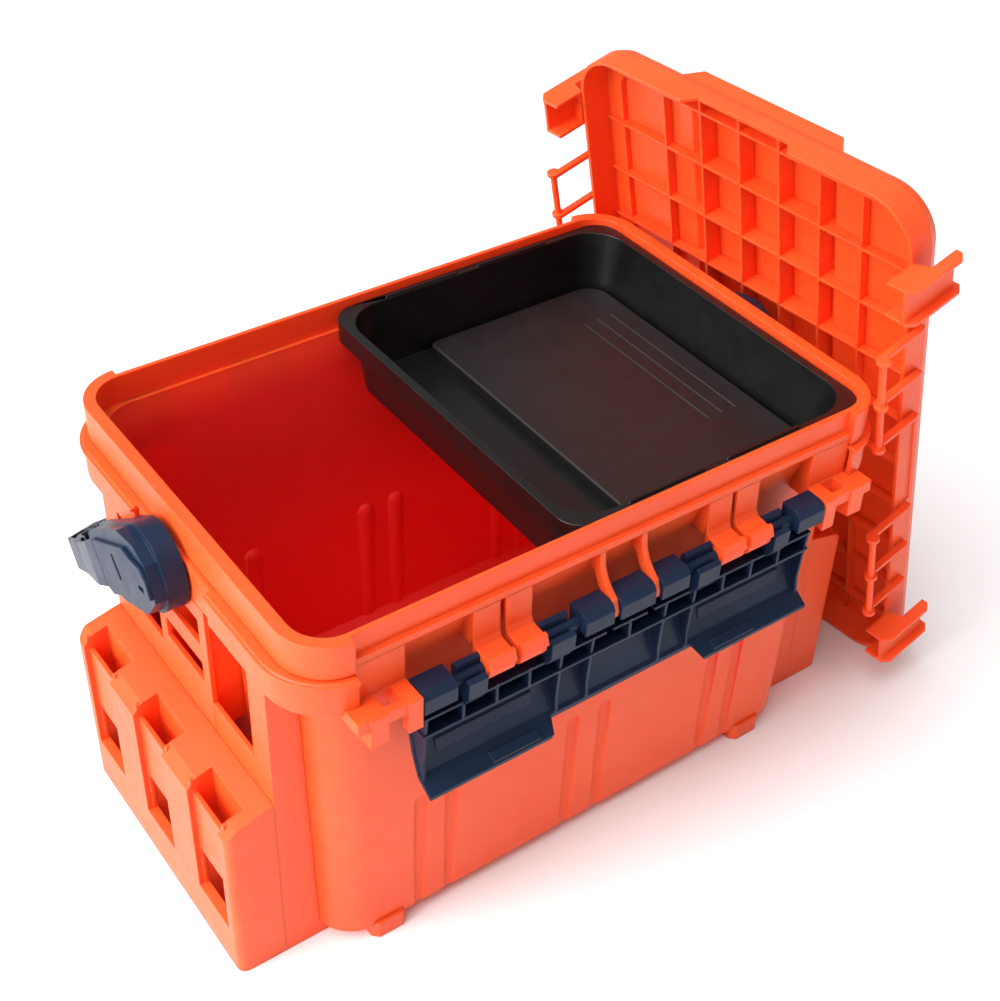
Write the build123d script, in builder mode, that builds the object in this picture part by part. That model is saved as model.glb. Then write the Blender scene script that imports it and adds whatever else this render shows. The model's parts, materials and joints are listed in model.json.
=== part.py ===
from build123d import *

from math import cos, radians, sin

import os

# Fishing tackle box: a tub with rod holders, a loose lid, two long latches, a bail and a tray.
#
# Millimetres. X runs along the box, Y across it (front is -Y) and Z up from the ground.
# The tub's underside is centred on the origin. The lid stands against the +X end.

# ---- driving dimensions -------------------------------------------------------------
WALL = 2.8
LENGTH_HALF = 205.0        # inside the rim
WIDTH_HALF = 138.6         # inside the rim
RIM_TOP = 289.6
LEDGE_Z = 269.6            # the step inside the rim that carries the tray
LEDGE = 3.1
WAIST_Z = 238.0            # where the walls begin to flare out to the rim
FLARE_TOP_Z = 266.0
RIM_LONG_OUT = 213.1       # outside of the rim, ends
RIM_WIDE_OUT = 146.7       # outside of the rim, corners
RIM_THIN_OUT = 141.6       # outside of the rim, along the long sides
THIN_HALF = 182.0          # how far the thin stretch of the rim reaches
SEAT_OUT = 145.0           # the flange that the lid sits on
SEAT_Z = 274.6
SEAT_THICK = 5.1

# each section of the tub's outer skin: height, half length, half width, corner radius
OUTER_SECTIONS = [
    (0.0, 178.0, 112.0, 18.0),
    (11.0, 191.5, 126.5, 28.0),
    (WAIST_Z, 196.0, 131.0, 28.0),
    (FLARE_TOP_Z, 204.7, 138.3, 28.0),
]

END_X = 216.0              # outer face of the end frames
END_HALF = 104.0           # half width of the end frames and rod holders
FRAME_Z = 139.0            # foot of the end frames' openings region
COLLAR_TOP = 264.5
COLLAR_BOTTOM = 240.0
COLLAR_OUT_X = 219.0
COLLAR_OUT_Y = 150.0
COLLAR_R = 42.0
HANDLE_NOTCH = 45.0        # half width of the gap that the collar leaves for the bail's hub

ROD_FACE_X = 248.6
ROD_PITCH = 73.5
ROD_HOLE = 39.0
ROD_EDGE_Z = 132.7

BAR_Y = 154.0              # latch pivot, distance from the middle of the box
BAR_Z = 234.5
BAR_R = 3.6
BORE_R = BAR_R + 0.08      # running fit on the bar
BAR_HALF = 159.0
HOOK_R = 7.4
LATCH_HALF = 147.0

PIVOT_Z = 255.0            # bail pivot
PIVOT_R = 6.0
PIVOT_GAP = 0.06
BAIL_TILT = -34.0          # the folded bail's slope, towards the rear
BAIL_HUB_R = 28.0
BAIL_INNER_X = 217.4
BAIL_OUTER_X = 241.6
BAIL_SPLIT = 150.0         # where the arms meet the grip
BAIL_REACH_IN = 205.0
BAIL_REACH_OUT = 221.0

TRAY_X = (-31.0, 203.0)
TRAY_HALF = 136.5
TRAY_TOP = 285.0
TRAY_BOTTOM = 234.5
TRAY_RIM = 6.0
TRAY_SKIRT = 15.1
TRAY_DRAFT = 9.0
TRAY_WALL = 2.5
BOARD_X = (40.0, 187.0)
BOARD_HALF = 120.5
BOARD_TOP = 245.0

LID_FOOT = (280.8, 13.3, 0.0)
LID_YAW = 4.98
LID_LEAN = 11.86
LID_LENGTH = 427.4
LID_WIDTH = 292.2
LID_R = 34.0
LID_SKIRT = 18.3
LID_EDGE = 25.5
LID_TOP = 30.0
LID_BAND = 37.0
PIN_OUT = 152.0            # lid pins, distance from the lid's middle line
PIN_C = -29.0              # lid pins, below the lid's opening plane
# struts of each pin ladder, distances from the lid's middle; the rear ladder near the foot
# is short, because the folded bail's arm lies beside it
PIN_ROWS = {("front", "head"): (47.0, 85.0, 123.0), ("rear", "head"): (51.0, 87.0, 123.0),
            ("front", "foot"): (41.0, 81.0, 120.0), ("rear", "foot"): (79.0, 100.0, 121.0)}

SIDES = {"front": -1, "rear": 1}
LID_ENDS = {"foot": -1, "head": 1}


# ---- helpers ------------------------------------------------------------------------
def slab(x0, x1, y0, y1, z0, z1, mode=Mode.ADD):
    """A box between two corners, in the plane of the builder that calls it."""
    with Locations(((x0 + x1) / 2, (y0 + y1) / 2, (z0 + z1) / 2)):
        Box(abs(x1 - x0), abs(y1 - y0), abs(z1 - z0), mode=mode)


def ring_stack(sections, inset=0.0, lift=0.0, mode=Mode.ADD):
    """A ruled skin through rounded rectangles, inset and lifted from the given sections."""
    faces = []
    for z, half_x, half_y, r in sections:
        with BuildSketch(Plane.XY.offset(z + (lift if z == sections[0][0] else 0.0))) as cut:
            RectangleRounded(2 * (half_x - inset), 2 * (half_y - inset), r - inset)
        faces.append(cut.sketch.face())
    loft(faces, ruled=True, mode=mode)


def round_plate(z0, z1, half_x, half_y, r, mode=Mode.ADD):
    """A rounded rectangular plate centred on the Z axis."""
    with BuildSketch(Plane.XY.offset(z0)) as outline:
        RectangleRounded(2 * half_x, 2 * half_y, r)
    extrude(outline.sketch, amount=z1 - z0, mode=mode)


def bar_along_x(x0, x1, y, z, r, mode=Mode.ADD):
    """A round bar parallel to X."""
    with BuildSketch(Plane.YZ.offset(x0)) as section:
        with Locations((y, z)):
            Circle(r)
    extrude(section.sketch, amount=x1 - x0, mode=mode)


def side_profile(x0, x1, points, mode=Mode.ADD):
    """A prism along X from an outline of (y, z) points."""
    with BuildSketch(Plane.YZ.offset(x0)) as section:
        with BuildLine():
            Polyline(*points, close=True)
        make_face()
    extrude(section.sketch, amount=x1 - x0, mode=mode)


def save(piece, name):
    piece.label = name
    export_step(piece, f"parts/{name}.step")


def mirrored(piece, plane):
    with BuildPart() as copy:
        add(mirror(piece, about=plane, mode=Mode.PRIVATE))
    return copy.part


os.makedirs("parts", exist_ok=True)

# ---- tub ----------------------------------------------------------------------------
FLUTES = (13.0, 107.0, 130.0)
FLUTE_R = 5.0
FLUTE_TOP = 112.0
FLUTE_Y = 129.6


def flutes(r, sides, mode=Mode.SUBTRACT):
    """Upright half-round grooves with domed tops along the given long sides."""
    for y in sides:
        for x in FLUTES:
            with Locations((x, y * FLUTE_Y, 0), (-x, y * FLUTE_Y, 0)):
                Cylinder(r, FLUTE_TOP, align=(Align.CENTER, Align.CENTER, Align.MIN), mode=mode)
            with Locations((x, y * FLUTE_Y, FLUTE_TOP), (-x, y * FLUTE_Y, FLUTE_TOP)):
                Sphere(r, mode=mode)


with BuildPart() as tub_cavity:
    ring_stack(OUTER_SECTIONS, inset=WALL, lift=WALL)
    round_plate(FLARE_TOP_Z, LEDGE_Z, LENGTH_HALF - LEDGE, WIDTH_HALF - LEDGE, 25.2)
    round_plate(LEDGE_Z, RIM_TOP + 1, LENGTH_HALF, WIDTH_HALF, 23.0)
    flutes(FLUTE_R + WALL, (-1, 1))

with BuildPart() as tub_shell:
    ring_stack(OUTER_SECTIONS)
    round_plate(FLARE_TOP_Z, RIM_TOP, RIM_LONG_OUT, RIM_WIDE_OUT, 32.0)
    for y in (-1, 1):
        slab(-THIN_HALF, THIN_HALF, y * RIM_THIN_OUT, y * 160, SEAT_Z, RIM_TOP + 1,
             mode=Mode.SUBTRACT)
        slab(-THIN_HALF, THIN_HALF, y * SEAT_OUT, y * 160, SEAT_Z - SEAT_THICK, SEAT_Z,
             mode=Mode.SUBTRACT)
        slab(-THIN_HALF, THIN_HALF, y * OUTER_SECTIONS[-1][2], y * 160, FLARE_TOP_Z,
             SEAT_Z - SEAT_THICK, mode=Mode.SUBTRACT)
    flutes(FLUTE_R, (-1, 1))
    add(tub_cavity.part, mode=Mode.SUBTRACT)
save(tub_shell.part, "tub_shell")

FOOT_X = (140.0, 166.0)
FOOT_Y = (113.0, 129.0)
FOOT_TOP = 14.0
with BuildPart() as feet:
    for x in (-1, 1):
        for y in (-1, 1):
            slab(x * FOOT_X[0], x * FOOT_X[1], y * FOOT_Y[0], y * FOOT_Y[1], 0, FOOT_TOP)
    chamfer(feet.edges().filter_by(Axis.Z), 4)
    add(tub_shell.part, mode=Mode.SUBTRACT)
    add(tub_cavity.part, mode=Mode.SUBTRACT)
save(feet.part, "corner_feet")

# ---- collars and end frames ------------------------------------------------------------
SKIN = 3.0
WINDOW_Y = (33.0, 83.0)
WINDOW_Z = (164.0, 239.0)
SLOT_HALF = 24.0
SLOTS_Z = ((175.0, 191.0), (206.0, 226.0))
PEDESTAL_HALF = 33.0
PEDESTAL_X = 216.4

with BuildPart() as collar_right:
    round_plate(COLLAR_BOTTOM, COLLAR_TOP, COLLAR_OUT_X, COLLAR_OUT_Y, COLLAR_R)
    round_plate(COLLAR_TOP - 3.5, COLLAR_TOP - 1, COLLAR_OUT_X + 2, COLLAR_OUT_Y + 2,
                COLLAR_R + 2)
    round_plate(COLLAR_BOTTOM, COLLAR_TOP - SKIN, COLLAR_OUT_X - SKIN, COLLAR_OUT_Y - SKIN,
                COLLAR_R - SKIN, mode=Mode.SUBTRACT)
    slab(-250, THIN_HALF, -160, 160, 200, 300, mode=Mode.SUBTRACT)
    slab(END_X, 250, -HANDLE_NOTCH, HANDLE_NOTCH, 200, 300, mode=Mode.SUBTRACT)
    round_plate(200, 300, 198, 132, 28, mode=Mode.SUBTRACT)
    add(tub_shell.part, mode=Mode.SUBTRACT)
    add(tub_cavity.part, mode=Mode.SUBTRACT)

with BuildPart() as end_frame_right:
    slab(END_X - SKIN, END_X, -END_HALF, END_HALF, FRAME_Z - 3, COLLAR_TOP - SKIN)
    slab(END_X, PEDESTAL_X, -PEDESTAL_HALF, PEDESTAL_HALF, FRAME_Z + 2, WINDOW_Z[1])
    for y in (-1, 1):
        slab(186, END_X, y * (END_HALF - SKIN), y * END_HALF, 0, COLLAR_TOP - SKIN)
        slab(END_X - SKIN, END_X + 1, y * WINDOW_Y[0], y * WINDOW_Y[1], *WINDOW_Z,
             mode=Mode.SUBTRACT)
        slab(190, END_X - SKIN, y * 28, y * 30.5, FRAME_Z, COLLAR_TOP - SKIN)
    for z0, z1 in SLOTS_Z:
        slab(END_X - SKIN, PEDESTAL_X + 1, -SLOT_HALF, SLOT_HALF, z0, z1, mode=Mode.SUBTRACT)
    add(collar_right.part, mode=Mode.SUBTRACT)
    add(tub_shell.part, mode=Mode.SUBTRACT)
    add(tub_cavity.part, mode=Mode.SUBTRACT)

# ---- rod holders -----------------------------------------------------------------------
CHANNEL_DEEP = 4.0
ROD_WINDOW_Z = (36.0, 70.0)
ROD_HOLE_IN_X = 230.5
ROD_EDGE_R = 7.0
with BuildPart() as rod_holder_right:
    with BuildSketch(Plane.XZ.offset(-END_HALF)):
        with BuildLine():
            Polyline((END_X, 0), (ROD_FACE_X, 0), (ROD_FACE_X, ROD_EDGE_Z - ROD_EDGE_R),
                     (ROD_FACE_X - ROD_EDGE_R, ROD_EDGE_Z + 1), (END_X + 5, FRAME_Z),
                     (END_X, FRAME_Z + 1), close=True)
        make_face()
    extrude(amount=2 * END_HALF)
    with BuildSketch(Plane.XZ.offset(-END_HALF + SKIN)):
        with BuildLine():
            Polyline((END_X - 5, -5), (ROD_FACE_X - SKIN, -5),
                     (ROD_FACE_X - SKIN, ROD_EDGE_Z - ROD_EDGE_R - 1),
                     (ROD_FACE_X - ROD_EDGE_R - 2, ROD_EDGE_Z - SKIN),
                     (END_X - 5, FRAME_Z - SKIN), close=True)
        make_face()
    extrude(amount=2 * (END_HALF - SKIN), mode=Mode.SUBTRACT)
    for y in (-ROD_PITCH, 0, ROD_PITCH):
        low = y - ROD_HOLE / 2
        high = y + ROD_HOLE / 2
        # the socket's own tube walls, hanging from the shoulder
        slab(END_X, ROD_FACE_X - SKIN, low - SKIN, low, 0, ROD_EDGE_Z)
        slab(END_X, ROD_FACE_X - SKIN, high, high + SKIN, 0, ROD_EDGE_Z)
        slab(ROD_HOLE_IN_X - SKIN, ROD_HOLE_IN_X, low, high, 60, ROD_EDGE_Z + 1)
        # the channel down the outer face, and its back wall
        slab(ROD_FACE_X - CHANNEL_DEEP - SKIN, ROD_FACE_X, low, high, 0, 129)
        slab(ROD_FACE_X - CHANNEL_DEEP, ROD_FACE_X + 1, low, high, ROD_WINDOW_Z[0], 150,
             mode=Mode.SUBTRACT)
        slab(ROD_HOLE_IN_X, ROD_FACE_X + 1, low, high, 122, 160, mode=Mode.SUBTRACT)
        slab(ROD_HOLE_IN_X + 8, ROD_FACE_X + 1, low + 0.5, high - 0.5, *ROD_WINDOW_Z,
             mode=Mode.SUBTRACT)
    corners = rod_holder_right.edges().filter_by(Axis.Z).group_by(Axis.X)[-1]
    outer = corners.sort_by(Axis.Y)
    fillet([outer[0], outer[-1]], 6)

# ---- corner brackets -----------------------------------------------------------------
BRACKET_X = (150.6, 191.0)
BRACKET_Y = (143.0, 161.6)
BRACKET_Z = (235.0, 243.8)
BRACKET_HOLE_X = (160.5, 172.0)
BRACKET_HOLE_Y = (146.0, 157.0)
with BuildPart() as bracket_rear_right:
    slab(*BRACKET_X, 128, BRACKET_Y[1], *BRACKET_Z)
    # inner prong with the latch bar's bore
    slab(BRACKET_X[0], 160, BRACKET_Y[0], 163, 229, BRACKET_Z[1])
    slab(BRACKET_X[0], 160, 156.5, 163, 221, 229)
    # outer prong, with a gusset back to the wall
    side_profile(172.5, 184, [(128, 243.8), (163, 243.8), (163, 223), (156, 221.5),
                              (150, 221.5), (128, 238)])
    slab(BRACKET_X[0], THIN_HALF, SEAT_OUT - 3, SEAT_OUT, BRACKET_Z[0], SEAT_Z - SEAT_THICK)
    slab(BRACKET_X[0], BRACKET_X[0] + 2.5, 128, SEAT_OUT, BRACKET_Z[0],
         SEAT_Z - SEAT_THICK)
    slab(*BRACKET_HOLE_X, *BRACKET_HOLE_Y, 200, 250, mode=Mode.SUBTRACT)
    bar_along_x(BRACKET_X[0] - 1, BRACKET_HOLE_X[0], BAR_Y, BAR_Z, BORE_R, mode=Mode.SUBTRACT)
    add(collar_right.part, mode=Mode.SUBTRACT)
    add(tub_shell.part, mode=Mode.SUBTRACT)
    add(tub_cavity.part, mode=Mode.SUBTRACT)

# ---- latch hooks ----------------------------------------------------------------------
STRAPS_X = ((66.0, 84.0), (88.0, 106.0))
RIB_HOOK_X = (13.6, 17.4)


def curl(x0, x1):
    """The claw that snaps over the latch bar, open below."""
    with BuildSketch(Plane.YZ.offset(x0)) as claw:
        with Locations((BAR_Y, BAR_Z)):
            Circle(HOOK_R)
            Circle(BORE_R, mode=Mode.SUBTRACT)
        with BuildLine():
            Polyline((BAR_Y - 1.5, BAR_Z), (BAR_Y + 5.5, BAR_Z - 12), (BAR_Y - 11, BAR_Z - 12),
                     close=True)
        make_face(mode=Mode.SUBTRACT)
    extrude(claw.sketch, amount=x1 - x0)


with BuildPart() as hooks_rear:
    for x0, x1 in STRAPS_X:
        curl(x0, x1)
        side_profile(x0, x1, [(SEAT_OUT - 3, SEAT_Z - SEAT_THICK), (SEAT_OUT, SEAT_Z - SEAT_THICK),
                              (146, 247.5), (148.2, 244), (158.6, 242.8), (158.6, 245.2),
                              (161.2, 245), (163.6, 238), (160.8, 236.5), (158.8, 239.5),
                              (154, 241), (149.5, 239.6), (147.4, 236), (144.6, 238),
                              (144.2, 246)])
    for x0, x1 in ((66.0, 68.0), (104.0, 106.0)):
        slab(x0, x1, 128, SEAT_OUT - 2, 244, SEAT_Z - SEAT_THICK)
    curl(*RIB_HOOK_X)
    side_profile(*RIB_HOOK_X, [(128, SEAT_Z - SEAT_THICK), (SEAT_OUT, SEAT_Z - SEAT_THICK),
                               (146, 260), (149, 253), (153.5, 247.5), (159, 243),
                               (161.3, 236), (158, 238), (150.5, 240), (144.5, 246),
                               (140.5, 254), (128, 258)])
    mirror(about=Plane.YZ)
    add(tub_shell.part, mode=Mode.SUBTRACT)
    add(tub_cavity.part, mode=Mode.SUBTRACT)

# ---- latches ----------------------------------------------------------------------------
SKIN_T = 2.5
CLIPS_X = ((45.0, 65.0), (106.5, 122.0))
BLOCKS_X = ((18.0, 39.0), (128.0, 149.8))
NOTCH_HALF = 53.0
PANEL_TOP = 219.0
LONG_RIBS_X = (28.0, 51.0, 145.0)
SHORT_RIBS_X = (74.0, 97.0, 120.0)

with BuildPart() as latch_bar_rear:
    bar_along_x(-BAR_HALF, BAR_HALF, BAR_Y, BAR_Z, BAR_R)

with BuildPart() as latch_panel_rear:
    # back skin, and the flange that hooks over the lid
    side_profile(-LATCH_HALF, LATCH_HALF, [
        (143.5, PANEL_TOP), (143.0, 200), (148.0, 180), (152.5, 168.5), (164.5, 160.5),
        (164.5, 157.8), (151.2, 165.8), (145.4, 179.4), (140.4, 199.6), (141.0, PANEL_TOP)])
    for z in (203.0, 216.5):
        slab(-LATCH_HALF, LATCH_HALF, 142, 157.5, z, z + 2)
    for s in (-1, 1):
        for x in LONG_RIBS_X:
            side_profile(s * x - 1, s * x + 1, [
                (142, PANEL_TOP), (157.8, PANEL_TOP), (156, 196), (155, 178), (156.5, 163),
                (152, 166.5), (145, 180), (141.5, 200)])
        for x in SHORT_RIBS_X:
            slab(s * x - 1, s * x + 1, 142, 157.5, 203, PANEL_TOP)
    # the bead along the top of each trough
    for s in (-1, 1):
        side_profile(s * 99 - 34, s * 99 + 34, [(145.4, 188), (147.6, 186), (149.5, 177),
                                                (147, 177)])
    slab(-1, 1, 142, 157.5, 203, PANEL_TOP)
    # notches that pass the tub's two curved ribs when the latch is swung up
    for s in (-1, 1):
        low, high = sorted((s * (RIB_HOOK_X[0] - 0.6), s * (RIB_HOOK_X[1] + 0.8)))
        slab(low, high, 143.6, 160, 215.5, PANEL_TOP, mode=Mode.SUBTRACT)
    # the flange is cut back in the middle, with sloping ends
    with BuildSketch(Plane.XZ.offset(-155)):
        with BuildLine():
            Polyline((-65, 150), (-NOTCH_HALF, 169), (NOTCH_HALF, 169), (65, 150), close=True)
        make_face()
    extrude(amount=-30, mode=Mode.SUBTRACT)
    # raised tabs on the flange
    for s in (-1, 1):
        side_profile(s * 85 - 17, s * 85 + 17, [(157, 163.6), (163.6, 159.8), (164.1, 163.2),
                                                (158.6, 166.6)])
    # blocks on the bar
    for x0, x1 in (*BLOCKS_X, (-13.0, 13.0)):
        for s in ((1,) if x0 < 0 else (-1, 1)):
            low, high = sorted((s * x0, s * x1))
            side_profile(low, high, [(146.5, 229), (163, 229), (163, 239), (161, 242.4),
                                     (157, 243.8), (146.5, 243.8)])
            slab(low, high, 146.5, 149, 216, 229)
            side_profile(low, high, [(141, 219), (141, 216), (150, 216), (150, 230),
                                     (146.5, 230)])
    # spring clips: a back jaw and a front jaw, which grip the lid's pins
    for x0, x1 in CLIPS_X:
        for s in (-1, 1):
            low, high = sorted((s * x0, s * x1))
            side_profile(low, high, [(141, 219), (141.0, 216), (152.5, 216), (152.5, 243),
                                     (149.5, 243.8), (146.5, 240), (147, 226)])
            side_profile(low + 1.5, high - 1.5, [(152, 216), (158, 216), (163, 224), (163.5, 236),
                                     (160.5, 238), (156, 230), (152, 228)])
    bar_along_x(-BAR_HALF, BAR_HALF, BAR_Y, BAR_Z, BAR_R, mode=Mode.SUBTRACT)

# ---- bail -------------------------------------------------------------------------------
with BuildPart() as pivot_pin_right:
    bar_along_x(PEDESTAL_X - 0.4, BAIL_INNER_X - 0.5, 0, PIVOT_Z, 13)
    bar_along_x(PEDESTAL_X - 0.4, BAIL_OUTER_X - 8, 0, PIVOT_Z, PIVOT_R)
    add(end_frame_right.part, mode=Mode.SUBTRACT)
    add(collar_right.part, mode=Mode.SUBTRACT)

ALONG = Vector(0, cos(radians(BAIL_TILT)), sin(radians(BAIL_TILT)))
SIDE_ON = Plane(origin=(0, 0, PIVOT_Z), x_dir=ALONG, z_dir=(1, 0, 0))   # x out along the arm
PLAN = Plane(origin=(0, 0, PIVOT_Z), x_dir=ALONG, z_dir=SIDE_ON.y_dir)  # y towards -X
GRIP_HALF = 11.0

# outlines of the hub end, along the arm and up from it: back layer, pad, and the cover's plate
ARM_BACK = [(8, -28), (44, -21), (64, -12), (BAIL_SPLIT, -GRIP_HALF), (BAIL_SPLIT, GRIP_HALF),
            (76, 26), (8, 28)]
ARM_PAD = [(-17, -10), (-14, -18), (8, -26), (43, -19.5), (64, -11), (BAIL_SPLIT, -GRIP_HALF),
           (BAIL_SPLIT, GRIP_HALF), (100, 16), (72, 20), (70, 25), (58, 26.5), (12, 26.5),
           (-8, 18), (-17, 5)]
ARM_FRONT = [(62, -10), (BAIL_SPLIT, -GRIP_HALF), (BAIL_SPLIT, GRIP_HALF), (100, 16), (62, 20.5)]
COVER = [(-15, -15), (55, -15), (62, -10), (62, 20.5), (6, 16.5), (-4, 9.5), (-14, 5), (-17, -5)]
HUB_SHIFT = 8.0
PAD_X = 231.0
COVER_X = 239.0
ARM_BEHIND_X = 222.4       # the arm's back face where it passes the collar's lip
ARM_BEHIND_R = 40.0
SLOT_FLOOR_X = 232.0
CELLS_FROM = 74.0
CELL_FLOOR = 6.0


def arm_layer(x0, x1, points):
    """One flat layer of the hub end, from x0 to x1."""
    with BuildSketch(SIDE_ON.offset(x0)) as layer:
        with BuildLine():
            Polyline(*points, close=True)
        make_face()
    extrude(layer.sketch, amount=x1 - x0)


def side_slot():
    """The narrow slot in the hub's face, through the cover and into the arm."""
    with BuildSketch(SIDE_ON.offset(SLOT_FLOOR_X)) as slot:
        with Locations((29, 4)):
            Rectangle(3.2, 16, rotation=-6)
    extrude(slot.sketch, amount=20, mode=Mode.SUBTRACT)


with BuildPart() as bail_arm_right:
    with BuildSketch(SIDE_ON.offset(BAIL_INNER_X)):
        with Locations((HUB_SHIFT, 0)):
            Circle(BAIL_HUB_R)
    extrude(amount=PAD_X - BAIL_INNER_X)
    arm_layer(BAIL_INNER_X, PAD_X, ARM_BACK)
    arm_layer(PAD_X, COVER_X, ARM_PAD)
    arm_layer(COVER_X, BAIL_OUTER_X, ARM_FRONT)
    # hollowed behind so that it clears the tub's collar
    with BuildSketch(SIDE_ON.offset(BAIL_INNER_X - 1)):
        Circle(BAIL_SPLIT * 2)
        Circle(ARM_BEHIND_R, mode=Mode.SUBTRACT)
    extrude(amount=ARM_BEHIND_X - BAIL_INNER_X + 1, mode=Mode.SUBTRACT)
    # thinner towards the grip
    with BuildSketch(PLAN.offset(-40)):
        with BuildLine():
            Polyline((80, -BAIL_OUTER_X), (BAIL_SPLIT, -229), (BAIL_SPLIT, -260), (80, -260),
                     close=True)
        make_face()
    extrude(amount=80, mode=Mode.SUBTRACT)
    bar_along_x(BAIL_INNER_X - 1, BAIL_OUTER_X - 7.5, 0, PIVOT_Z, PIVOT_R + PIVOT_GAP,
                mode=Mode.SUBTRACT)
    side_slot()
    # open cells along the arm's upper face, with slanting webs
    with BuildSketch(PLAN.offset(-GRIP_HALF + CELL_FLOOR)):
        with BuildLine():
            Polyline((CELLS_FROM, -225.2), (147, -225.2), (147, -227.6), (84, -238.6),
                     (CELLS_FROM, -238.6), close=True)
        make_face()
        with Locations(((CELLS_FROM + 147) / 2, -232)):
            with GridLocations(13, 1, 6, 1):
                Rectangle(50, 1.8, rotation=60, mode=Mode.SUBTRACT)
    extrude(amount=3 * GRIP_HALF, mode=Mode.SUBTRACT)

with BuildPart() as hub_cap_right:
    arm_layer(COVER_X, BAIL_OUTER_X, COVER)
    chamfer(hub_cap_right.faces().sort_by(Axis.X)[-1].edges(), 0.5)
    side_slot()
    # the small notch at the cover's nose
    with BuildSketch(SIDE_ON.offset(COVER_X - 1)):
        with Locations((-6, -8)):
            Rectangle(7, 3.2, rotation=20)
    extrude(amount=5, mode=Mode.SUBTRACT)

GRIP_WALL = 2.4
with BuildPart() as bail_grip:
    with BuildSketch(PLAN.offset(-GRIP_HALF)) as outline:
        with BuildLine():
            Polyline((BAIL_SPLIT, -229), (190, -224.2), (BAIL_REACH_OUT, -196), (BAIL_REACH_OUT, 196),
                     (190, 224.2), (BAIL_SPLIT, 229), (BAIL_SPLIT, 222.4), (184, 216),
                     (BAIL_REACH_IN, 190), (BAIL_REACH_IN, -190), (184, -216), (BAIL_SPLIT, -222.4),
                     close=True)
        make_face()
    extrude(amount=2 * GRIP_HALF)
    with BuildSketch(PLAN.offset(-GRIP_HALF + GRIP_WALL)):
        with BuildLine():
            Polyline((172, -223.8), (189, -221.8), (BAIL_REACH_OUT - GRIP_WALL, -195),
                     (BAIL_REACH_OUT - GRIP_WALL, 195), (189, 221.8), (172, 223.8),
                     (185.5, 218), (BAIL_REACH_IN + GRIP_WALL, 191),
                     (BAIL_REACH_IN + GRIP_WALL, -191), (185.5, -218), close=True)
        make_face()
        with Locations(((BAIL_REACH_IN + BAIL_REACH_OUT) / 2, 0)):
            with GridLocations(1, 18, 1, 25):
                Rectangle(70, 2, rotation=35, mode=Mode.SUBTRACT)
    extrude(amount=3 * GRIP_HALF, mode=Mode.SUBTRACT)

# ---- tray -------------------------------------------------------------------------------
TRAY_MID = sum(TRAY_X) / 2
TRAY_LONG = TRAY_X[1] - TRAY_X[0]


def tray_block(z0, z1, inset, r, taper=0, mode=Mode.ADD):
    with BuildSketch(Plane.XY.offset(z1)) as outline:
        with Locations((TRAY_MID, 0)):
            RectangleRounded(TRAY_LONG - 2 * inset, 2 * (TRAY_HALF - inset), r)
    extrude(outline.sketch, amount=-(z1 - z0), taper=taper, mode=mode)


with BuildPart() as tray_pan:
    tray_block(TRAY_TOP - TRAY_SKIRT, TRAY_TOP, 0, 18)
    tray_block(TRAY_TOP - TRAY_SKIRT - 1, TRAY_TOP - TRAY_WALL, TRAY_WALL, 15.5, mode=Mode.SUBTRACT)
    tray_block(TRAY_BOTTOM, TRAY_TOP, TRAY_RIM - TRAY_WALL, 30, taper=TRAY_DRAFT)
    tray_block(TRAY_BOTTOM + TRAY_WALL, TRAY_TOP + 0.01, TRAY_RIM, 27.5, taper=TRAY_DRAFT,
               mode=Mode.SUBTRACT)
    # raised lips along both long rims
    for x0, x1 in ((12.0, 70.0), (88.0, 147.0)):
        for y in (-1, 1):
            slab(x0, x1, y * (TRAY_HALF - 3.4), y * (TRAY_HALF - 5.6), TRAY_TOP - 1,
                 TRAY_TOP + 1.6)

with BuildPart() as tray_board:
    slab(*BOARD_X, -BOARD_HALF, BOARD_HALF, TRAY_BOTTOM + TRAY_WALL, BOARD_TOP)
    uprights = tray_board.edges().filter_by(Axis.Z).group_by(Axis.X)
    fillet(uprights[-1], 18)
    fillet(uprights[0], 5)
    chamfer(tray_board.faces().sort_by(Axis.Z)[-1].edges(), 1.2)
    for x in (146.0, 158.0, 170.0):
        slab(x - 0.4, x + 0.4, -55, 80, BOARD_TOP - 0.6, BOARD_TOP + 1, mode=Mode.SUBTRACT)

# ---- lid --------------------------------------------------------------------------------
YAW = radians(LID_YAW)
LEAN = radians(LID_LEAN)
LID_REAR = Vector(-sin(YAW), cos(YAW), 0)
LID_OUT = Vector(cos(LEAN) * cos(YAW), cos(LEAN) * sin(YAW), sin(LEAN))
# x towards the rear, y up the lid, z out of its top side; the origin is the lid's middle
LID_UP = LID_OUT.cross(LID_REAR)
LID_MID = Vector(*LID_FOOT) + LID_UP * (LID_LENGTH / 2)
LID_PLANE = Plane(origin=LID_MID, x_dir=LID_REAR, z_dir=LID_OUT)
LID_WALL = 2.8
RIB_LOW = 20.0
RIB_COLUMNS = (-90.5, -55.5, -20.5, 14.5, 49.5, 84.5)
RIB_ROWS = (21.2, 63.8, 106.0, 149.0, 191.5)
BAND_HALF = 60.0
BAND_FOOT = 70.0
PLATEAU_INSET = 14.0
END_NOTCH = (39.0, 47.0, 9.0)


def across_lid(b):
    """A plane across the lid, b above its middle: x to the rear, y out of the lid's top."""
    return Plane(origin=LID_MID + LID_UP * b, x_dir=LID_REAR, z_dir=LID_UP * -1)


def lid_plate(c0, c1, inset, r, mode=Mode.ADD):
    with BuildSketch(LID_PLANE.offset(c0)) as outline:
        RectangleRounded(LID_WIDTH - 2 * inset, LID_LENGTH - 2 * inset, r)
    extrude(outline.sketch, amount=c1 - c0, mode=mode)


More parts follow.
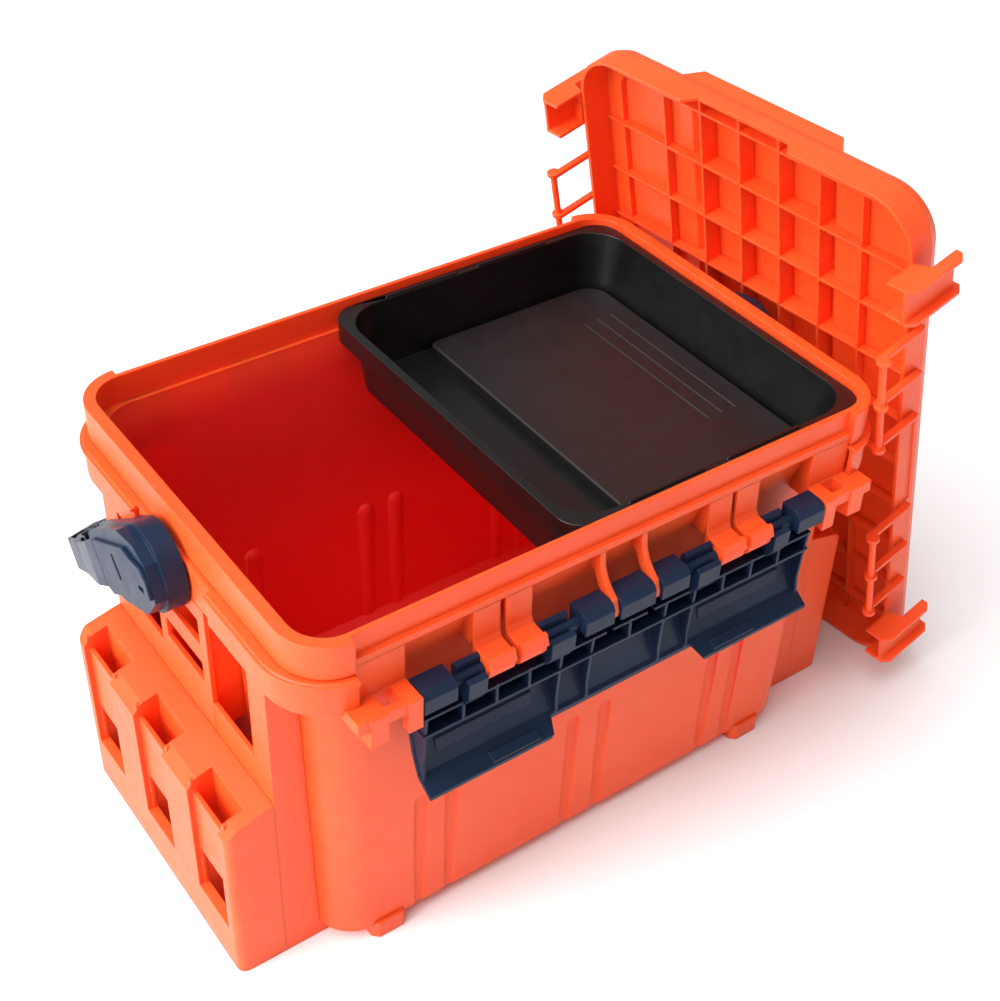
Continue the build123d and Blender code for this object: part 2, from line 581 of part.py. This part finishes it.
def lid_band(length, top, half, foot, base, mode=Mode.ADD):
    """The raised band down the lid's middle, with sloping sides."""
    with BuildSketch(across_lid(length / 2)) as section:
        with BuildLine():
            Polyline((-foot, base), (-half, top), (half, top), (foot, base), close=True)
        make_face()
    extrude(section.sketch, amount=length, mode=mode)


with BuildPart() as lid_room:
    lid_plate(-1, LID_EDGE - LID_WALL, LID_WALL, LID_R - LID_WALL)
    lid_plate(0, LID_TOP - LID_WALL, PLATEAU_INSET + LID_WALL, 20)
    lid_band(LID_LENGTH - 6 - 2 * LID_WALL, LID_BAND - LID_WALL, BAND_HALF - 1.5,
             BAND_FOOT - 1.5, LID_EDGE - LID_WALL - 1)

with BuildPart() as lid_shell:
    lid_plate(0, LID_SKIRT, 0, LID_R)
    with BuildSketch(LID_PLANE.offset(LID_SKIRT)):
        RectangleRounded(LID_WIDTH, LID_LENGTH, LID_R)
    with BuildSketch(LID_PLANE.offset(LID_EDGE)):
        RectangleRounded(LID_WIDTH - 6, LID_LENGTH - 6, LID_R - 3)
    loft(ruled=True)
    lid_plate(LID_EDGE, LID_TOP, PLATEAU_INSET, 22)
    lid_band(LID_LENGTH - 6, LID_BAND, BAND_HALF, BAND_FOOT, LID_EDGE - 1)
    add(lid_room.part, mode=Mode.SUBTRACT)
    # the end skirts are cut back where the bail's hubs pass
    for end in (-1, 1):
        with BuildSketch(across_lid(end * LID_LENGTH / 2)):
            with BuildLine():
                Polyline((-END_NOTCH[1], -1), (-END_NOTCH[0], END_NOTCH[2]),
                         (END_NOTCH[0], END_NOTCH[2]), (END_NOTCH[1], -1), close=True)
            make_face()
        extrude(amount=8, both=True, mode=Mode.SUBTRACT)
    # shallow recess in each long skirt
    for s in (-1, 1):
        with BuildSketch(LID_PLANE.offset(9)):
            with Locations((s * LID_WIDTH / 2, 0)):
                Rectangle(2.4, 77)
        extrude(amount=6, mode=Mode.SUBTRACT)

with BuildPart() as lid_ribs:
    for a in RIB_COLUMNS:
        with BuildSketch(LID_PLANE.offset(RIB_LOW)):
            with Locations((a, 0)):
                Rectangle(2, LID_LENGTH - 2)
        extrude(amount=LID_BAND)
    for b in RIB_ROWS:
        for s in (-1, 1):
            with BuildSketch(LID_PLANE.offset(RIB_LOW)):
                with Locations((0, s * b)):
                    Rectangle(LID_WIDTH - 2, 2)
            extrude(amount=LID_BAND)
    add(lid_room.part, mode=Mode.INTERSECT)


def pin_ladder(side, end, rows):
    """A rod along the lid's edge, held by three struts with round ends."""
    start = LID_UP * (end * rows[0]) + LID_REAR * (side * PIN_OUT) + LID_OUT * PIN_C
    with BuildSketch(Plane(origin=LID_MID + start, x_dir=LID_REAR, z_dir=LID_UP * end)) as rod:
        Circle(2.4)
    extrude(rod.sketch, amount=rows[-1] - rows[0])
    for row in [end * row for row in rows]:
        with BuildSketch(across_lid(row + 1.5)) as strut:
            with Locations((side * PIN_OUT, PIN_C)):
                Circle(4.5)
            with Locations((side * 149.5, PIN_C / 2 + 4)):
                Rectangle(5, -PIN_C + 10)
            with Locations((side * 148, 8)):
                Rectangle(6, 8)
        extrude(strut.sketch, amount=3)


GUARD_B = (152.0, 179.0)
GUARD_PLATE = 2.6
GUARD_WEB = 158.0


def corner_guard(side, end):
    """A channel that shields a corner bracket when the lid is on: a web between two flanges."""
    b0, b1 = sorted((end * GUARD_B[0], end * GUARD_B[1]))
    for b in (b0 + GUARD_PLATE, b1):
        with BuildSketch(across_lid(b)) as flange:
            with BuildLine():
                Polyline((side * 146.2, -23), (side * 161, -23), (side * 166, -18),
                         (side * 166, 22), (side * 162, 27), (side * 157, 27),
                         (side * 157, 2), (side * 146.2, -2), close=True)
            make_face()
        extrude(flange.sketch, amount=GUARD_PLATE)
    with BuildSketch(across_lid(b1)) as web:
        with BuildLine():
            Polyline((side * GUARD_WEB, -23), (side * (GUARD_WEB + GUARD_PLATE), -23),
                     (side * (GUARD_WEB + GUARD_PLATE), 22), (side * GUARD_WEB, 22), close=True)
        make_face()
        with BuildLine():
            Polyline((side * 146.2, -2), (side * GUARD_WEB, 2), (side * GUARD_WEB, 4.6),
                     (side * 146.2, 0.6), close=True)
        make_face()
    extrude(web.sketch, amount=b1 - b0)


# ---- write the pieces ------------------------------------------------------------------
for name, piece in (("collar", collar_right), ("end_frame", end_frame_right),
                    ("rod_holder", rod_holder_right), ("pivot_pin", pivot_pin_right),
                    ("bail_arm", bail_arm_right), ("bail_hub_cap", hub_cap_right)):
    save(piece.part, f"{name}_right")
    save(mirrored(piece.part, Plane.YZ), f"{name}_left")

save(bracket_rear_right.part, "corner_bracket_rear_right")
save(mirrored(bracket_rear_right.part, Plane.YZ), "corner_bracket_rear_left")
save(mirrored(bracket_rear_right.part, Plane.XZ), "corner_bracket_front_right")
save(mirrored(mirrored(bracket_rear_right.part, Plane.YZ), Plane.XZ), "corner_bracket_front_left")

for name, piece in (("latch_hooks", hooks_rear), ("latch_bar", latch_bar_rear),
                    ("latch_panel", latch_panel_rear)):
    save(piece.part, f"rear_{name}")
    save(mirrored(piece.part, Plane.XZ), f"front_{name}")

save(bail_grip.part, "bail_grip")
save(tray_pan.part, "tray_pan")
save(tray_board.part, "tray_board")
save(lid_shell.part, "lid_shell")
save(lid_ribs.part, "lid_ribs")

for side_name, side in SIDES.items():
    with BuildPart() as ladder:
        for end_name, end in LID_ENDS.items():
            pin_ladder(side, end, PIN_ROWS[side_name, end_name])
        add(lid_shell.part, mode=Mode.SUBTRACT)
    save(ladder.part, f"lid_pins_{side_name}")
    for end_name, end in LID_ENDS.items():
        with BuildPart() as guard:
            corner_guard(side, end)
            add(lid_shell.part, mode=Mode.SUBTRACT)
        save(guard.part, f"lid_guard_{side_name}_{end_name}")
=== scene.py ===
import json
import math

import bpy
from mathutils import Matrix, Vector


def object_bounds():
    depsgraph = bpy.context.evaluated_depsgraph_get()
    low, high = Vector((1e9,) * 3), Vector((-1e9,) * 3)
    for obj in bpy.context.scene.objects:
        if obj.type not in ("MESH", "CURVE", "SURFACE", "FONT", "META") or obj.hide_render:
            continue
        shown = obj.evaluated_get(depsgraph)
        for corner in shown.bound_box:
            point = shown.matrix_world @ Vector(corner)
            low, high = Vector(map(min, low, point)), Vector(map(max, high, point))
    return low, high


MM = 0.001
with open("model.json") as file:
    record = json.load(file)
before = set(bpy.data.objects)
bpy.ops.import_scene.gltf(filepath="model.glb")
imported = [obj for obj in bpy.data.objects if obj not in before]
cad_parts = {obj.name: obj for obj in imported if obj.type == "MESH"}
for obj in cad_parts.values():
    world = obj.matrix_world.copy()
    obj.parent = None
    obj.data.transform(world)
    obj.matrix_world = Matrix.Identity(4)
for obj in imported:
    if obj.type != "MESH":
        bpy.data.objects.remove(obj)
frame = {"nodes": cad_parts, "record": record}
CAD_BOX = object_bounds()
nodes = frame["nodes"]

# ---- camera -------------------------------------------------------------------------------
CAMERA_PLACE = Vector((-0.4833, -0.6706, 0.8775))
CAMERA_FORWARD = Vector((0.46331, 0.62079, -0.63243))
CAMERA_ROLL = 0.0297       # how far the camera's right side is tilted up
LENS_MM = 58.14
SENSOR_MM = 36.0


def add_camera():
    forward = CAMERA_FORWARD.normalized()
    level = forward.cross(Vector((0, 0, 1))).normalized()
    upright = level.cross(forward)
    lift = math.asin(CAMERA_ROLL / upright.z)
    right = level * math.cos(lift) + upright * math.sin(lift)
    up = right.cross(forward)
    data = bpy.data.cameras.new("camera")
    data.lens = LENS_MM
    data.sensor_width = SENSOR_MM
    camera = bpy.data.objects.new("camera", data)
    bpy.context.collection.objects.link(camera)
    turn = Matrix((right, up, -forward)).transposed()
    camera.matrix_world = Matrix.Translation(CAMERA_PLACE) @ turn.to_4x4()
    bpy.context.scene.camera = camera


add_camera()

# ---- materials ----------------------------------------------------------------------------
# the tub's inner faces and floor get a redder colour, a painted glow that stands in for light
# shining red through the orange walls; these set where it goes
INWARD_REACH = 20 * MM      # an inner wall's face looks back towards the middle by more than this
FLOOR_BELOW = 60 * MM       # level faces below this height are the tub's floor
LEVEL = 0.7                 # upward part of the normal, from which a face counts as level
RIM_FADE = {"From Min": 245 * MM, "From Max": 285 * MM, "To Min": 1.0, "To Max": 0.1}
CLOUD_SCALE = 9.0           # slow variation of the colour, per metre
TONE_SCALE = 60.0           # variation of the roughness
GRAIN_SCALE = 2600.0        # fine spark-eroded grain
GRAIN_STRENGTH = 0.35
EDGE_SAMPLES = 6
BLEED_COLOUR = (1.0, 0.12, 0.04)        # the red light that spreads inside the orange plastic
BLEED_DEPTH = 5 * MM


class Shader:
    """A material's node tree, with short calls for the nodes that the plastics share."""

    def __init__(self, name):
        self.material = bpy.data.materials.new(name)
        self.material.use_nodes = True
        self.tree = self.material.node_tree
        self.bsdf = self.tree.nodes["Principled BSDF"]
        self.place = self.node("ShaderNodeTexCoord").outputs["Object"]

    def node(self, kind, **values):
        made = self.tree.nodes.new(kind)
        for key, value in values.items():
            if key in made.inputs:
                made.inputs[key].default_value = value
            else:
                setattr(made, key, value)
        return made

    def link(self, source, target):
        self.tree.links.new(source, target)

    def noise(self, scale, detail=3.0, roughness=0.55):
        made = self.node("ShaderNodeTexNoise", Scale=scale, Detail=detail, Roughness=roughness)
        self.link(self.place, made.inputs["Vector"])
        return made.outputs["Fac"]

    def ramp(self, factor, low, high, dark, pale):
        made = self.node("ShaderNodeValToRGB")
        made.color_ramp.elements[0].position = low
        made.color_ramp.elements[1].position = high
        made.color_ramp.elements[0].color = (*dark, 1)
        made.color_ramp.elements[1].color = (*pale, 1)
        self.link(factor, made.inputs["Fac"])
        return made.outputs["Color"]

    def maths(self, operation, first, second=0.0):
        made = self.node("ShaderNodeMath", operation=operation)
        for socket, value in zip(made.inputs, (first, second)):
            if isinstance(value, float):
                socket.default_value = value
            else:
                self.link(value, socket)
        return made.outputs["Value"]

    def painted_glow_mask(self):
        """1 on the tub's inner faces and floor, 0 on its outside and rim: the mask of a painted
        red glow that stands in for light shining through the walls.
        """
        split_place = self.node("ShaderNodeSeparateXYZ")
        split_normal = self.node("ShaderNodeSeparateXYZ")
        self.link(self.place, split_place.inputs[0])
        self.link(self.node("ShaderNodeTexCoord").outputs["Normal"], split_normal.inputs[0])
        outwards = self.maths("ADD", *(self.maths("MULTIPLY", split_place.outputs[i],
                                                  split_normal.outputs[i]) for i in (0, 1)))
        wall = self.maths("LESS_THAN", outwards, -INWARD_REACH)
        fade = self.node("ShaderNodeMapRange")
        self.link(split_place.outputs[2], fade.inputs["Value"])
        for socket, value in RIM_FADE.items():
            fade.inputs[socket].default_value = value
        wall = self.maths("MULTIPLY", wall, fade.outputs["Result"])
        low = self.maths("LESS_THAN", split_place.outputs[2], FLOOR_BELOW)
        level = self.maths("GREATER_THAN", split_normal.outputs[2], LEVEL)
        return self.maths("MAXIMUM", wall, self.maths("MULTIPLY", low, level))


def plastic(name, colours, rough, grain_depth, edge_radius, subsurface=0.0, specular=0.5,
            inside=None):
    """Moulded plastic: slow colour clouds, fine spark-eroded grain and soft edges."""
    s = Shader(name)
    colour = s.ramp(s.noise(CLOUD_SCALE), 0.35, 0.65, *colours)
    # inside: the redder colour painted on the tub's inner faces and floor, painted light that
    # stands in for light shining through the walls
    if inside:
        blend = s.node("ShaderNodeMix", data_type="RGBA")
        factor, outer, inner = (blend.inputs[i] for i in (0, 6, 7))
        s.link(s.painted_glow_mask(), factor)
        s.link(colour, outer)
        s.link(s.ramp(s.noise(CLOUD_SCALE), 0.35, 0.65, *inside), inner)
        colour = blend.outputs[2]
    s.link(colour, s.bsdf.inputs["Base Color"])
    low, high = rough
    tone = s.ramp(s.noise(TONE_SCALE, 4.0), 0.3, 0.7, (low,) * 3, (high,) * 3)
    s.link(tone, s.bsdf.inputs["Roughness"])
    edge = s.node("ShaderNodeBevel", Radius=edge_radius)
    edge.samples = EDGE_SAMPLES
    bump = s.node("ShaderNodeBump", Strength=GRAIN_STRENGTH, Distance=grain_depth)
    s.link(s.noise(GRAIN_SCALE, 2.0), bump.inputs["Height"])
    s.link(edge.outputs["Normal"], bump.inputs["Normal"])
    s.link(bump.outputs["Normal"], s.bsdf.inputs["Normal"])
    if subsurface:
        s.bsdf.inputs["Subsurface Weight"].default_value = subsurface
        s.bsdf.inputs["Subsurface Radius"].default_value = BLEED_COLOUR
        s.bsdf.inputs["Subsurface Scale"].default_value = BLEED_DEPTH
    s.bsdf.inputs["Specular IOR Level"].default_value = specular
    return s.material


ORANGE_LOOK = {"colours": ((0.93, 0.088, 0.013), (0.95, 0.102, 0.018)), "rough": (0.38, 0.48),
               "grain_depth": 0.06 * MM, "edge_radius": 1.2 * MM, "subsurface": 0.6,
               "specular": 0.4}
ORANGE = plastic("orange_plastic", **ORANGE_LOOK)
# the tub's inner faces and floor are painted redder: a painted glow of light shining through the
# walls
TUB_ORANGE_PAINTED_GLOW = plastic("tub_orange_painted_glow", **ORANGE_LOOK,
                     inside=((0.95, 0.024, 0.020), (0.97, 0.032, 0.025)))
NAVY = plastic("navy_plastic", colours=((0.006, 0.015, 0.040), (0.009, 0.020, 0.050)),
               rough=(0.36, 0.46), grain_depth=0.06 * MM, edge_radius=0.9 * MM, specular=0.22)
BLACK = plastic("black_plastic", colours=((0.003, 0.003, 0.003), (0.005, 0.0045, 0.0045)),
                rough=(0.30, 0.40), grain_depth=0.04 * MM, edge_radius=1.2 * MM)
BOARD = plastic("board_plastic", colours=((0.007, 0.005, 0.005), (0.010, 0.007, 0.007)),
                rough=(0.44, 0.54), grain_depth=0.08 * MM, edge_radius=0.8 * MM)
MATERIALS = {"orange_plastic": ORANGE, "navy_plastic": NAVY, "black_plastic": BLACK,
             "board_plastic": BOARD}
SLOT_OF = {part["node"]: part["material_slot"] for part in frame["record"]["subparts"]}

for name, node in nodes.items():
    node.data.materials.clear()
    node.data.materials.append(TUB_ORANGE_PAINTED_GLOW if name == "tub_shell" else MATERIALS[SLOT_OF[name]])

# ---- moulded edges ------------------------------------------------------------------------
EDGE_ANGLE = math.radians(28)
FLAT_ANGLE = math.radians(0.5)
WELD_REACH = 0.01 * MM
EDGE_WIDTH = {"orange_plastic": 0.7 * MM, "navy_plastic": 0.7 * MM, "black_plastic": 0.8 * MM,
              "board_plastic": 0.4 * MM}
# these have ribs or cells all over, so their edges are rounded by the material alone
SHADED_EDGES = ("lid_ribs", "lid_shell", "bail_arm_left", "bail_arm_right")


def soften(node, width):
    """Rounds a CAD node's sharp edges with modifiers, as a mould's edges are rounded."""
    weld = node.modifiers.new("weld", "WELD")
    weld.merge_threshold = WELD_REACH
    flat = node.modifiers.new("flat", "DECIMATE")
    flat.decimate_type = "DISSOLVE"
    flat.angle_limit = FLAT_ANGLE
    edge = node.modifiers.new("edge", "BEVEL")
    edge.width = width
    edge.segments = 2
    edge.limit_method = "ANGLE"
    edge.angle_limit = EDGE_ANGLE
    edge.use_clamp_overlap = True
    edge.miter_outer = "MITER_ARC"
    node.modifiers.new("even", "WEIGHTED_NORMAL")
    for polygon in node.data.polygons:
        polygon.use_smooth = True


for name, node in nodes.items():
    if name not in SHADED_EDGES:
        soften(node, EDGE_WIDTH[SLOT_OF[name]])

# ---- studio -------------------------------------------------------------------------------
FLOOR_SIZE = 60
FLOOR_GAP = 0.5 * MM
SKY_FROM = (-0.55, 0.08, 1.0)
SKY_STRENGTH = 3.5
SKY_WIDTH = math.radians(60)
LAMP_PLACE = (-2.4, 0.1, 1.3)
LAMP_TARGET = (0, 0, 0.2)
LAMP_SIZE = 1.5
LAMP_POWER = 62
AMBIENT = 0.33


def add_floor():
    bpy.ops.mesh.primitive_plane_add(size=FLOOR_SIZE, location=(0, 0, CAD_BOX[0].z - FLOOR_GAP))
    floor = bpy.context.object
    floor.name = "studio_floor"
    s = Shader("studio_white")
    shade = s.ramp(s.noise(0.6), 0.3, 0.7, (0.93, 0.93, 0.93), (0.95, 0.95, 0.95))
    s.link(shade, s.bsdf.inputs["Base Color"])
    s.bsdf.inputs["Roughness"].default_value = 0.9
    floor.data.materials.append(s.material)


def add_sun(place, strength, width):
    data = bpy.data.lights.new("sky_panel", "SUN")
    data.energy = strength
    data.angle = width
    sun = bpy.data.objects.new("sky_panel", data)
    sun.rotation_mode = "QUATERNION"
    sun.rotation_quaternion = (-Vector(place)).to_track_quat("-Z", "Y")
    bpy.context.collection.objects.link(sun)


def add_light(name, place, target, size, power):
    data = bpy.data.lights.new(name, "AREA")
    data.size = size
    data.energy = power
    light = bpy.data.objects.new(name, data)
    light.location = place
    light.rotation_mode = "QUATERNION"
    light.rotation_quaternion = (Vector(target) - Vector(place)).to_track_quat("-Z", "Y")
    bpy.context.collection.objects.link(light)


add_floor()
add_sun(SKY_FROM, SKY_STRENGTH, SKY_WIDTH)
add_light("left", LAMP_PLACE, LAMP_TARGET, LAMP_SIZE, LAMP_POWER)
bpy.context.scene.view_settings.view_transform = "Standard"
world = bpy.data.worlds.new("studio")
world.use_nodes = True
background = world.node_tree.nodes["Background"]
background.inputs["Color"].default_value = (1.0, 1.0, 1.0, 1)
background.inputs["Strength"].default_value = AMBIENT
bpy.context.scene.world = world
